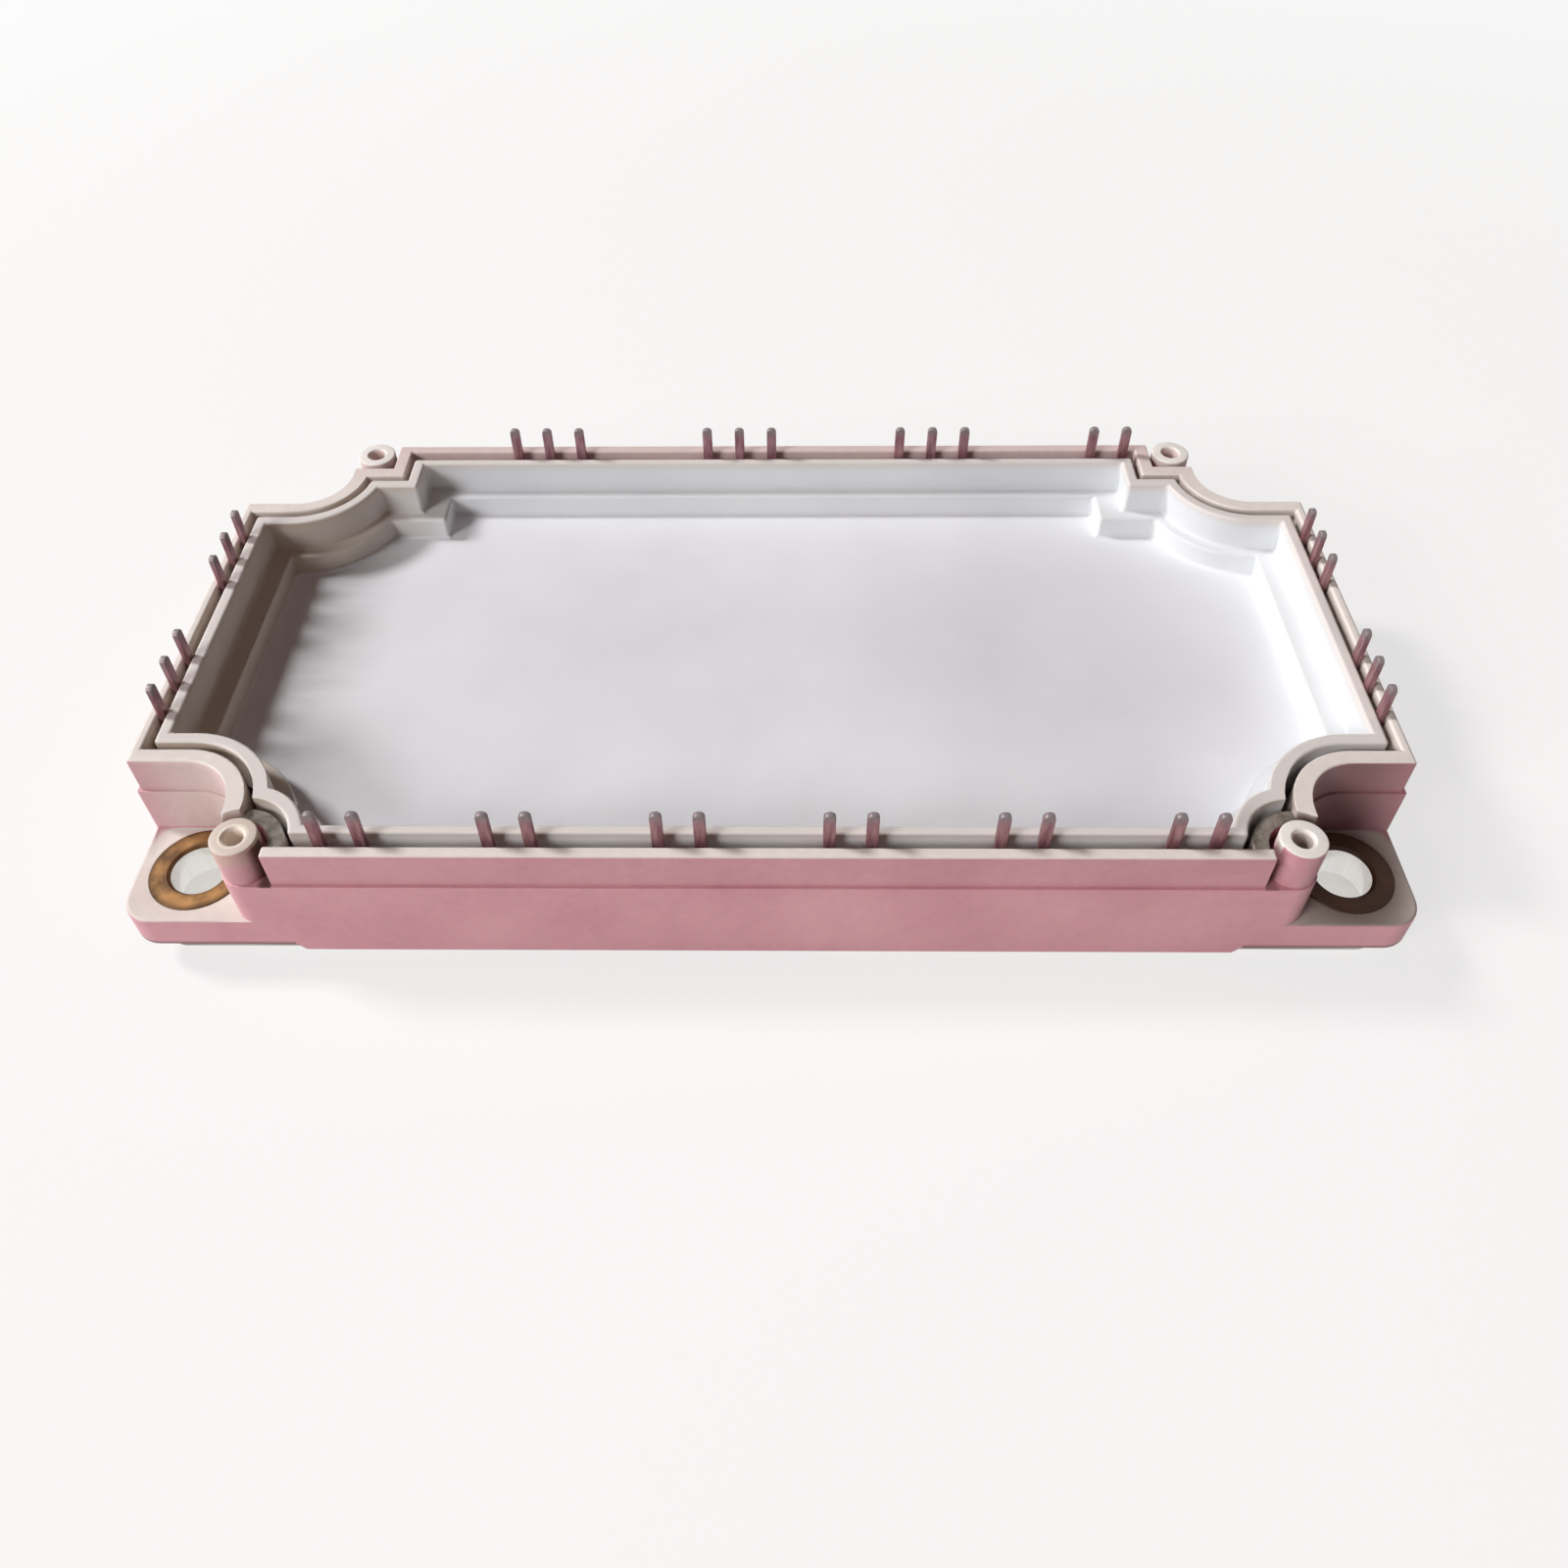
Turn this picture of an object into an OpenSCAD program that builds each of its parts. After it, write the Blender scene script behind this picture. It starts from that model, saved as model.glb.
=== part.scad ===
// Three-phase bridge power module in a solder-pin package with a tray lid.
// Millimetres. Z = 0 is the mounting face of the base plate, origin at its centre, X along the length.
// The row with the six pin pairs faces -Y.

/* [Overall size] */
// Length over the mounting ears
module_l = 122; // [116:1:140]
// Width over the long walls
module_w = 62; // [58:1:76]
// Height of the circuit board standoffs above the mounting face
standoff_h = 17; // [16:0.5:22]

/* [Frame walls] */
// Drop from the standoff tops to the rim of the walls
rim_drop = 0.25; // [0:0.05:0.8]
// Height of the shoulder that runs round the walls
shoulder_z = 12.5; // [10:0.1:13.5]
// Step in of the wall above the shoulder
setback = 0.3; // [0.1:0.05:0.6]
// Thickness of the long walls above the shoulder
wall_t = 1.25; // [1:0.05:1.6]
// Thickness of the end walls above the shoulder
end_wall_t = 1; // [0.8:0.05:1.4]
// Thickness of the walls that curve round the screw holes
relief_wall_t = 1.65; // [1.2:0.05:2]
// Radius of the hollow in the wall round each screw hole
relief_r = 5.05; // [4.9:0.05:6]

/* [Ears and screw holes] */
// Distance from each screw hole to the ends and sides of the module
hole_inset = 6; // [5.5:0.25:7]
// Thickness of the ears
ear_t = 3.75; // [3:0.05:5]
// Radius of the ear corners
ear_corner_r = 3; // [1:0.25:5]
// Outer diameter of the brass bushes
bush_d = 9.5; // [8:0.1:9.7]
// Bore of the bushes
bore_d = 5.5; // [4.5:0.1:6.2]
// Height of the bushes above the ears
bush_proud = 0.1; // [0:0.05:0.3]
// Chamfer on the edges of the bush bores
bore_chamfer = 0.3; // [0.1:0.05:0.5]

/* [Standoffs] */
// Diameter of the standoffs
standoff_d = 4.3; // [3.8:0.1:4.6]
// Skin of the lower wall round each standoff
standoff_skin = 0.2; // [0.1:0.05:0.4]
// Gap between a front standoff and the round wall behind it
pocket_gap = 0.55; // [0.4:0.05:0.9]
// Thickness of that wall
pocket_wall_t = 1.35; // [1.1:0.05:1.8]
// Gap between a back standoff and the square wall behind it
back_gap = 0.3; // [0.2:0.05:0.5]
// Thickness of that wall
back_wall_t = 1.6; // [1.2:0.05:1.8]
// Drop of the rim behind each front standoff
notch_drop = 1; // [0.4:0.1:2]
// Length by which the wall round the screw hole stops short of the gap
notch_margin = 0.6; // [0.2:0.1:1]
// Diameter of the screw pilot holes
pilot_d = 1.8; // [1.6:0.1:2.6]
// Depth of the pilot holes
pilot_depth = 8; // [5:0.5:10]
// Depth of the flared mouth of the pilot holes
pilot_flare = 0.25; // [0.2:0.05:0.5]

/* [Base plate] */
// Thickness of the copper base plate
plate_t = 3; // [2.5:0.1:4]
// Step in of the plate from the outline of the frame
plate_inset = 1.9; // [1.6:0.05:2.4]
// Radius of the plate corners
plate_corner_r = 2; // [0.5:0.25:4]
// Diameter of the screw holes in the plate
plate_hole_d = 6.2; // [5.5:0.1:6.6]
// Gap between the plate and the skirt of the frame
plate_clear = 0.15; // [0.05:0.05:0.3]
// Thickness of the adhesive under the frame
glue_t = 0.2; // [0.1:0.05:0.3]
// Margin between the adhesive and the edges of the faces it joins
glue_margin = 0.5; // [0.2:0.1:0.8]
// Drop of the skirt that laps the edge of the plate
skirt_drop = 0.9; // [0.4:0.1:1.5]
// Distance from each screw hole to the end of the skirt
skirt_end = 11; // [9:0.25:14]
// Run of the sloped skirt ends
skirt_slope = 0.8; // [0.2:0.1:2]

/* [Tray lid] */
// Width of the groove between frame and lid along the long walls
groove_w = 1.4; // [1:0.05:1.6]
// Width of the groove along the end walls
end_groove_w = 0.8; // [0.75:0.05:1]
// Width of the groove round the screw holes
relief_gap = 0.75; // [0.5:0.05:1]
// Width of the groove behind the standoffs
corner_gap = 0.6; // [0.4:0.05:1]
// Thickness of the lid walls along the ends and round the corners
lid_wall_t = 1.35; // [1:0.05:1.6]
// Thickness of the lid walls along the long sides
lid_side_t = 1; // [0.8:0.05:1.4]
// Depth of the ledge below the rim
ledge_drop = 3.95; // [2.5:0.05:4.5]
// Width of the ledge along the long walls
ledge_w = 1.55; // [0.8:0.05:2]
// Width of the ledge along the end walls
end_ledge_w = 2.2; // [0.8:0.05:2.4]
// Width of the ledge round the corners
corner_ledge_w = 1.45; // [0.6:0.05:1.8]
// Width of the ledge beside the back corners, along X
back_ledge_w = 2.95; // [1:0.05:3.2]
// Thickness of the tray floor
tray_floor_t = 1.5; // [1:0.1:1.8]

/* [Solder pins] */
// Grid that the pins stand on
pin_pitch = 3.81; // [3.5:0.01:3.9]
// Width of a pin along its wall
pin_w = 1.1; // [0.8:0.05:1.3]
// Thickness of a pin
pin_t = 0.6; // [0.4:0.05:0.65]
// Height of the pin tips above the standoffs
pin_rise = 3.5; // [2:0.1:5]
// Radius of the pin tip corners
pin_tip_r = 0.5; // [0.1:0.05:0.5]
// Length of the pin foot inside the frame
pin_foot = 2.4; // [1.6:0.1:2.6]
// Thickness of the shelf that the pin feet lie on
shelf_t = 1.85; // [1.2:0.05:2.2]
// Width of that shelf
shelf_w = 3.6; // [3.3:0.1:4]
// Gap between the lid seats and the pins beside them
seat_gap = 0.7; // [0.3:0.1:1]
// Clear length of wall between the outer pins and the corners
row_end = 0.6; // [0.2:0.1:1.6]

/* [Electronics] */
// Distance from the screw holes to the row of tiles, along X
tile_end = 9.3; // [9.2:0.1:12]
// Width of a ceramic tile along Y
tile_w = 37; // [35:0.5:38]
// Gap between the tiles
tile_gap = 1.6; // [1.2:0.1:1.8]
// Thickness of the tile ceramic
ceramic_t = 0.4; // [0.25:0.05:0.7]
// Thickness of the copper on both faces of a tile
copper_t = 0.3; // [0.2:0.05:0.4]
// Bare margin round the copper
copper_margin = 0.8; // [0.4:0.1:1]
// Gap between the two copper islands of a tile
island_gap = 1.2; // [0.8:0.1:1.6]
// Thickness of the solder under a tile
solder_t = 0.2; // [0.1:0.05:0.3]
// Edge of a transistor chip
transistor_l = 9.4; // [8:0.1:9.6]
// Width of a diode chip
diode_w = 5; // [4:0.1:5.2]
// Thickness of the chips with their solder
chip_t = 0.25; // [0.15:0.05:0.35]
// Diameter of the bond wires
wire_d = 0.3; // [0.2:0.05:0.4]
// Rise of a bond wire above its two ends
wire_rise = 1.3; // [0.8:0.1:1.6]
// Distance of a bond from the edge of its copper
bond_inset = 0.45; // [0.35:0.05:0.6]
// Spacing of two bond wires side by side
wire_step = 3; // [2:0.2:4]
// Length of the thermistor along X
thermistor_l = 1.2; // [0.8:0.1:1.4]
// Width of the thermistor along Y
thermistor_w = 2; // [1.6:0.1:2.4]
// Height of the thermistor
thermistor_h = 1; // [0.6:0.1:1.2]
// Room above the pin feet for the bond wires
wire_room = 1.35; // [1.1:0.05:1.6]
// Thickness of the gel blanket
gel_t = 0.6; // [0.3:0.1:0.9]
// Gap between the gel and the pieces beside it
gel_gap = 0.1; // [0.05:0.05:0.3]
// Gap between the gel and the lid
gel_head = 1.1; // [0.4:0.1:1.4]

/* [Hidden] */
$fn = 64;
eps = 0.01;

// Heights
under_z = plate_t + glue_t;
ear_z = under_z + ear_t;
skirt_z = under_z - skirt_drop;
shelf_z = under_z + shelf_t;
rim_z = standoff_h - rim_drop;
notch_z = rim_z - notch_drop;
ledge_z = rim_z - ledge_drop;
ledge_under_z = ledge_z - lid_wall_t;
pin_h = standoff_h + pin_rise - shelf_z;
tile_z = plate_t + solder_t;
copper_z = tile_z + ceramic_t + 2 * copper_t;
chip_z = copper_z + chip_t;
foot_z = shelf_z + pin_t;
gel_z = foot_z + wire_room;
lid_under_z = gel_z + gel_t + gel_head;
floor_z = lid_under_z + tray_floor_t;

// Screw holes and standoffs in one corner
hole_x = module_l / 2 - hole_inset;
hole_y = module_w / 2 - hole_inset;
standoff_r = standoff_d / 2;
corner_r = standoff_r + standoff_skin;
standoff_x = hole_x - relief_r - corner_r;
standoff_y = module_w / 2 - corner_r;
pocket_r = standoff_r + pocket_gap;
back_r = standoff_r + back_gap;

// Wall faces as half length, half width, radius round a screw hole, radius round a front standoff,
// and how far the square corner at a back standoff reaches along X and Y
upper_face = [module_l / 2 - setback, module_w / 2 - setback, relief_r + setback, pocket_r, back_r, back_r];
inner_face = upper_face + [-end_wall_t, -wall_t, relief_wall_t, pocket_wall_t, back_wall_t, back_wall_t];
lid_face = inner_face + [-end_groove_w, -groove_w, relief_gap, corner_gap, corner_gap, corner_gap];
lid_inside = lid_face + [-lid_wall_t, -lid_side_t, lid_wall_t, lid_wall_t, lid_wall_t, lid_wall_t];
tray_inside = lid_inside
    + [-end_ledge_w, -ledge_w, corner_ledge_w, corner_ledge_w, back_ledge_w, corner_ledge_w];
tray_outside = inset(tray_inside, -lid_wall_t);
cavity = inset(inner_face, shelf_w);

// Pin rows run along the middle of the groove
pin_row_y = inner_face[1] - groove_w / 2;
pin_row_x = inner_face[0] - end_groove_w / 2;
foot_mid = pin_t / 2 + pin_foot / 2;

// Grid places along each wall, in pitches from the middle; the groups keep to the grid and spread with the wall
row_run = standoff_x - max(inner_face[3], inner_face[4]) - row_end - pin_w / 2;
last_place = floor(row_run / pin_pitch);
outer_pair = last_place - 1;
inner_pair = round(outer_pair * 0.2);
middle_pair = round(outer_pair * 0.6);
pairs = [-outer_pair, -middle_pair, -inner_pair, inner_pair, middle_pair, outer_pair];
triples = [-round(outer_pair * 0.7), -1, round(outer_pair * 0.5)];
front_places = [for (pair = pairs) for (side = [-0.5, 0.5]) pair + side];
back_places = concat([for (triple = triples) for (side = [-1, 0, 1]) triple + side], [outer_pair, last_place]);
end_places = [for (triple = [-2.5, 2.5]) for (side = [-1, 0, 1]) triple + side];
last_back_x = last_place * pin_pitch;
last_end_y = max(end_places) * pin_pitch;

// Pins as name, place along the wall, turn about Z, row distance from the middle
PINS = concat(
    [for (i = [0 : len(front_places) - 1])
        [str("pin_front_", two_digits(i + 1)), front_places[i] * pin_pitch, 0, pin_row_y]],
    [for (i = [0 : len(back_places) - 1])
        [str("pin_back_", two_digits(i + 1)), -back_places[i] * pin_pitch, 180, pin_row_y]],
    [for (i = [0 : len(end_places) - 1])
        [str("pin_left_", i + 1), end_places[i] * pin_pitch, -90, pin_row_x]],
    [for (i = [0 : len(end_places) - 1])
        [str("pin_right_", i + 1), end_places[i] * pin_pitch, 90, pin_row_x]]
);

// Tiles and chips
tile_l = (2 * (hole_x - tile_end) - 2 * tile_gap) / 3;
tile_pitch = tile_l + tile_gap;
island_l = tile_l - 2 * copper_margin;
island_w = (tile_w - 2 * copper_margin - island_gap) / 2;
island_y = (island_w + island_gap) / 2;
end_strip = thermistor_l + 2 * bond_inset;
chip_step = island_l - transistor_l - 2 * end_strip;
bond_y = tile_w / 2 - copper_margin - bond_inset;
bond_x = tile_pitch + tile_l / 2 - copper_margin - bond_inset;
transistor_y = bond_y - bond_inset - transistor_l / 2;
diode_y = island_gap / 2 + bond_inset + diode_w / 2;
rib_l = tile_gap - 2 * gel_gap;
rib_w = tile_w - 4 * copper_margin;

TILES = [1, 2, 3];
CORNERS = [[-1, -1], [1, -1], [-1, 1], [1, 1]];

// Which sub-part is drawn

function two_digits(n) = n < 10 ? str("0", n) : str(n);
function inset(face, d) = face + [-d, -d, d, d, d, d];
function tile_x(i) = (i - 2) * tile_pitch;
function clamped(v, limit) = max(-limit, min(limit, v));

// Point on the foot of a pin where its bond wire starts
function foot_point(p) =
    let (reach = p[3] - foot_mid)
    p[2] == 0 ? [p[1], -reach] : p[2] == 180 ? [-p[1], reach] : p[2] < 0 ? [-reach, -p[1]] : [reach, p[1]];

// Point on the copper of a tile where the bond wire of a pin ends
function tile_point(p, i) =
    abs(p[2]) == 90
        ? [sign(foot_point(p)[0]) * bond_x, foot_point(p)[1]]
        : [tile_x(i) + clamped(foot_point(p)[0] - tile_x(i), island_l / 2 - bond_inset),
           sign(foot_point(p)[1]) * bond_y];

// Tile that a pin is wired to
function tile_of(p) = 2 + clamped(round(foot_point(p)[0] / tile_pitch), 1);

module slab(z, h) {
    translate([0, 0, z]) linear_extrude(height = h) children();
}

// Draws the back right corner in all four corners
module at_corners() {
    for (c = CORNERS) {
        $back = c[1] > 0;
        mirror([c[0] < 0 ? 1 : 0, 0, 0])
            mirror([0, c[1] < 0 ? 1 : 0, 0])
                children();
    }
}

module rounded_plan(l, w, r) {
    difference() {
        square([l, w], center = true);
        at_corners() translate([l / 2 - r, w / 2 - r]) difference() {
            square(2 * r);
            circle(r = r);
        }
    }
}

// Corner that is cleared round a screw hole
module hollow(r) {
    translate([hole_x, hole_y]) circle(r = r);
    translate([hole_x, hole_y - r]) square(module_w);
    translate([hole_x - r, hole_y]) square(module_w);
}

// Corner that is cleared round a standoff, with a square end at the back and a round one at the front
module pocket(face) {
    translate([standoff_x, standoff_y])
        if ($back) {
            translate([-face[4], -face[5]]) square(module_w);
        } else {
            circle(r = face[3]);
            translate([-face[3], 0]) square(module_w);
        }
}

// Outline of the wall below the shoulder, rounded over each standoff
module wall_plan() {
    difference() {
        square([module_l, module_w], center = true);
        at_corners() hollow(relief_r);
        at_corners() translate([standoff_x, standoff_y]) square(module_w);
    }
    at_corners() translate([standoff_x, standoff_y]) circle(r = corner_r);
}

// Outline of one wall face, stepping round the screw holes and standoffs
module face_plan(face) {
    difference() {
        square([2 * face[0], 2 * face[1]], center = true);
        at_corners() hollow(face[2]);
        at_corners() pocket(face);
    }
}

module ear_plan() {
    rounded_plan(module_l, module_w, ear_corner_r);
}

module plate_plan(grow) {
    rounded_plan(module_l - 2 * plate_inset + 2 * grow, module_w - 2 * plate_inset + 2 * grow, plate_corner_r);
}

// Space above the pin shelf, with the solid corners left that the lid sits on
module shelf_plan() {
    difference() {
        face_plan(inner_face);
        at_corners()
            translate([last_back_x + pin_w / 2 + seat_gap, last_end_y + pin_w / 2 + seat_gap]) square(module_w);
    }
    face_plan(cavity);
}

// Lowered part of the rim between the straight walls and a front standoff
module notch_plan() {
    wall_end = pocket_r + notch_margin;
    difference() {
        intersection() {
            translate([standoff_x, standoff_y]) {
                circle(r = wall_end);
                translate([-inner_face[3], -inner_face[3]])
                    square([hole_x - inner_face[2] - standoff_x + inner_face[3], 2 * inner_face[3]]);
            }
            square([module_l, inner_face[1]]);
        }
        translate([standoff_x, standoff_y]) circle(r = standoff_r + pocket_gap / 2);
    }
}

// Skirt that laps the plate between the ears
module skirt() {
    long_end = hole_x - skirt_end;
    short_end = hole_y - skirt_end;
    intersection() {
        slab(skirt_z, skirt_drop) difference() {
            ear_plan();
            plate_plan(plate_clear);
        }
        union() {
            rotate([90, 0, 0]) skirt_bar(long_end, module_w);
            rotate([90, 0, 90]) skirt_bar(short_end, module_l);
        }
    }
}

module skirt_bar(end, l) {
    linear_extrude(height = l + 2, center = true)
        polygon([
            [-end - skirt_slope, under_z],
            [-end, skirt_z],
            [end, skirt_z],
            [end + skirt_slope, under_z]
        ]);
}

module frame() {
    color("#ead9d6") difference() {
        union() {
            slab(under_z, ear_t) ear_plan();
            slab(under_z, shoulder_z - under_z) wall_plan();
            slab(shoulder_z, rim_z - shoulder_z) face_plan(upper_face);
            at_corners()
                translate([standoff_x, standoff_y, shoulder_z])
                    cylinder(r = standoff_r, h = standoff_h - shoulder_z);
            skirt();
        }
        slab(lid_under_z, standoff_h) face_plan(inner_face);
        slab(shelf_z, lid_under_z - shelf_z + eps) shelf_plan();
        slab(skirt_z, shelf_z - skirt_z + eps) face_plan(cavity);
        at_corners() if (!$back) slab(notch_z, standoff_h) notch_plan();
        at_corners() translate([hole_x, hole_y, skirt_z]) cylinder(d = bush_d, h = standoff_h);
        at_corners() translate([standoff_x, standoff_y, standoff_h]) pilot();
    }
}

module pilot() {
    translate([0, 0, -pilot_depth]) cylinder(d = pilot_d, h = pilot_depth + 1);
    translate([0, 0, -pilot_flare])
        cylinder(d1 = pilot_d, d2 = pilot_d + 4 * pilot_flare, h = 2 * pilot_flare);
}

module base_plate() {
    color("#c9c7c2") slab(0, plate_t) difference() {
        plate_plan(0);
        at_corners() translate([hole_x, hole_y]) circle(d = plate_hole_d);
    }
}

module plate_adhesive() {
    color("#e4e0d6") slab(plate_t, glue_t) difference() {
        plate_plan(-glue_margin);
        face_plan(inset(cavity, -glue_margin));
        at_corners() translate([hole_x, hole_y]) circle(d = bush_d + 2 * glue_margin);
    }
}

module mounting_bush(i) {
    bush_h = ear_z + bush_proud - plate_t;
    color("#8a6238")
        translate([CORNERS[i - 1][0] * hole_x, CORNERS[i - 1][1] * hole_y, plate_t])
            rotate_extrude()
                polygon([
                    [bore_d / 2, bore_chamfer],
                    [bore_d / 2 + bore_chamfer, 0],
                    [bush_d / 2, 0],
                    [bush_d / 2, bush_h],
                    [bore_d / 2 + bore_chamfer, bush_h],
                    [bore_d / 2, bush_h - bore_chamfer]
                ]);
}

// Blade bent to a foot, with rounded corners at the tip
module pin(p) {
    color("#b79a9d")
        rotate([0, 0, p[2]])
            translate([p[1], -p[3], shelf_z])
                intersection() {
                    rotate([90, 0, 90]) linear_extrude(height = pin_w, center = true) bend_plan();
                    rotate([90, 0, 0]) linear_extrude(height = 4 * pin_foot, center = true) blade_plan();
                }
}

module bend_plan() {
    translate([-pin_t / 2, pin_t]) square([pin_t, pin_h - pin_t]);
    translate([pin_t / 2, 0]) square([pin_foot, pin_t]);
    intersection() {
        translate([-pin_t / 2, 0]) square(pin_t);
        translate([pin_t / 2, pin_t]) circle(r = pin_t);
    }
}

module blade_plan() {
    translate([-pin_w / 2, 0]) square([pin_w, pin_h - pin_tip_r]);
    translate([pin_tip_r - pin_w / 2, 0]) square([pin_w - 2 * pin_tip_r, pin_h]);
    for (side = [-1, 1])
        translate([side * (pin_w / 2 - pin_tip_r), pin_h - pin_tip_r]) circle(r = pin_tip_r);
}

module solder_layers() {
    color("#a9adb0") for (i = TILES)
        translate([tile_x(i), 0, plate_t]) linear_extrude(height = solder_t) copper_plan();
}

module copper_plan() {
    square([island_l, tile_w - 2 * copper_margin], center = true);
}

// Ceramic with a full copper face below and two copper islands above, bonded as one piece
module substrate(i) {
    color("#d9b38c") translate([tile_x(i), 0, tile_z]) {
        linear_extrude(height = copper_t + eps) copper_plan();
        slab(copper_t, ceramic_t) square([tile_l, tile_w], center = true);
        for (side = [-1, 1])
            slab(copper_t + ceramic_t - eps, copper_t + eps)
                translate([0, side * island_y]) square([island_l, island_w], center = true);
    }
}

module chip_row(i, y, w) {
    for (sx = [-1, 1]) for (sy = [-1, 1])
        translate([tile_x(i) + sx * chip_step / 2, sy * y, copper_z])
            linear_extrude(height = chip_t) square([transistor_l, w], center = true);
}

module transistor_chips(i) {
    color("#6f747a") chip_row(i, transistor_y, transistor_l);
}

module diode_chips(i) {
    color("#7c8187") chip_row(i, diode_y, diode_w);
}

module thermistor() {
    color("#3a3a3c")
        translate([bond_x - thermistor_l / 2, bond_y - thermistor_w / 2, copper_z])
            linear_extrude(height = thermistor_h) square([thermistor_l, thermistor_w], center = true);
}

// Bond wire that rises in an arc from one point to another
module bond_wire(a, b) {
    span = norm(b - a);
    flat = norm([b[0] - a[0], b[1] - a[1]]);
    arc_r = (span * span / 4 + wire_rise * wire_rise) / (2 * wire_rise);
    half_turn = asin(span / 2 / arc_r);
    translate([a[0], a[1], a[2] + wire_d / 2])
        rotate([0, -atan2(b[2] - a[2], flat), atan2(b[1] - a[1], b[0] - a[0])])
            translate([span / 2, 0, wire_rise - arc_r])
                rotate([90, 0, 0])
                    rotate([0, 0, 90 - half_turn])
                        rotate_extrude(angle = 2 * half_turn)
                            translate([arc_r, 0]) circle(d = wire_d, $fn = 16);
}

module bond_wires(i) {
    color("#d5d7d9") {
        for (p = PINS)
            if (tile_of(p) == i)
                bond_wire(concat(foot_point(p), foot_z), concat(tile_point(p, i), copper_z));
        for (sx = [-1, 1]) for (sy = [-1, 1]) {
            chip_x = tile_x(i) + sx * chip_step / 2;
            for (side = [-0.5, 0.5])
                bond_wire(
                    [chip_x + side * wire_step, sy * transistor_y, chip_z],
                    [chip_x + side * wire_step, sy * diode_y, chip_z]
                );
            // Back diodes are wired round the outer ends, front diodes through the middle
            end_x = tile_x(i) + sx * (sy > 0 ? island_l / 2 - bond_inset : bond_inset);
            bond_wire(
                [chip_x + sx * sy * wire_step, sy * diode_y, chip_z],
                [end_x, -sy * diode_y, copper_z]
            );
        }
    }
}

// Blanket over the wires, with ribs that reach down to the plate between the tiles
module gel_fill() {
    color("#dfe6e8") {
        slab(gel_z, gel_t) face_plan(inset(cavity, gel_gap));
        for (side = [-0.5, 0.5])
            slab(plate_t, gel_z - plate_t + eps)
                translate([side * tile_pitch, 0]) square([rib_l, rib_w], center = true);
    }
}

// White tray with a ledge round its walls
module lid() {
    color("#f2f1ef") difference() {
        union() {
            slab(ledge_under_z, ledge_drop + lid_wall_t) face_plan(lid_face);
            slab(lid_under_z, ledge_under_z - lid_under_z + eps) face_plan(tray_outside);
        }
        slab(ledge_z, standoff_h) face_plan(lid_inside);
        slab(floor_z, standoff_h) face_plan(tray_inside);
    }
}

base_plate();
plate_adhesive();
frame();
for (i = [1 : 4])
    mounting_bush(i);
for (p = PINS)
    pin(p);
solder_layers();
for (i = TILES) {
    substrate(i);
    transistor_chips(i);
    diode_chips(i);
    bond_wires(i);
}
thermistor();
gel_fill();
lid();
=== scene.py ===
from math import hypot, radians
import bpy
import bmesh
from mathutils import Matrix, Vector


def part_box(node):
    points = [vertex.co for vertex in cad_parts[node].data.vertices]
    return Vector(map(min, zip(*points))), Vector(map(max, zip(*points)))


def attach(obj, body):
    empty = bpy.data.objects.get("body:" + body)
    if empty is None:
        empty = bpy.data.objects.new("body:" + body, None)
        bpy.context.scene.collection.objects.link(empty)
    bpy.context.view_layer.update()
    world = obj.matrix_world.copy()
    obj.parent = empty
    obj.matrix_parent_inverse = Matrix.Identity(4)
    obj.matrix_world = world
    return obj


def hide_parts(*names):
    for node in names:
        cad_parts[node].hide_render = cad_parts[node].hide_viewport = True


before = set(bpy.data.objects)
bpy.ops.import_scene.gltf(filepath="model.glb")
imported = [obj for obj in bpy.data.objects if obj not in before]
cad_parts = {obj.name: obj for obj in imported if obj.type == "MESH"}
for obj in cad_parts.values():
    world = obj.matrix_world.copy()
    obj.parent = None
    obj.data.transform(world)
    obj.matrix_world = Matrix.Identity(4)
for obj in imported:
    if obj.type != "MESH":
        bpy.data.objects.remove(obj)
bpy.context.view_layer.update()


# Base plate: 3 mm of rolled copper, punched with four screw holes and plated with matt nickel.
# The frame hides most of it, so what shows is the edge under the ears and the face below.
# The sizes of the part are in millimetres times MM, because the scene is in metres.
MM = 0.001
screw_hole = (55 * MM, 25 * MM, 0.0)
punched_radius = 3.2 * MM
IN_PLAN = (1.0, 1.0, 0.0)
# A Mix node for colours takes them at the first two of these sockets, and gives the result at the third
COLOUR_A, COLOUR_B, MIXED = 6, 7, 2


def srgb(code):
    parts = [int(code[i:i + 2], 16) / 255 for i in (1, 3, 5)]
    return [p / 12.92 if p <= 0.04045 else ((p + 0.055) / 1.055) ** 2.4 for p in parts] + [1.0]


def add(tree, kind, inputs, stops=(), **settings):
    node = tree.nodes.new("ShaderNode" + kind)
    for name, value in settings.items():
        setattr(node, name, value)
    for number, (position, colour) in enumerate(stops):
        node.color_ramp.elements[number].position = position
        node.color_ramp.elements[number].color = srgb(colour)
    for name, value in inputs.items():
        if isinstance(value, bpy.types.NodeSocket):
            tree.links.new(value, node.inputs[name])
        else:
            node.inputs[name].default_value = value
    return node


def new_material(name):
    material = bpy.data.materials.new(name)
    material.use_nodes = True
    material.node_tree.nodes.clear()
    return material, material.node_tree


def dress(node, material):
    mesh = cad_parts[node].data
    mesh.materials.clear()
    mesh.materials.append(material)


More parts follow.
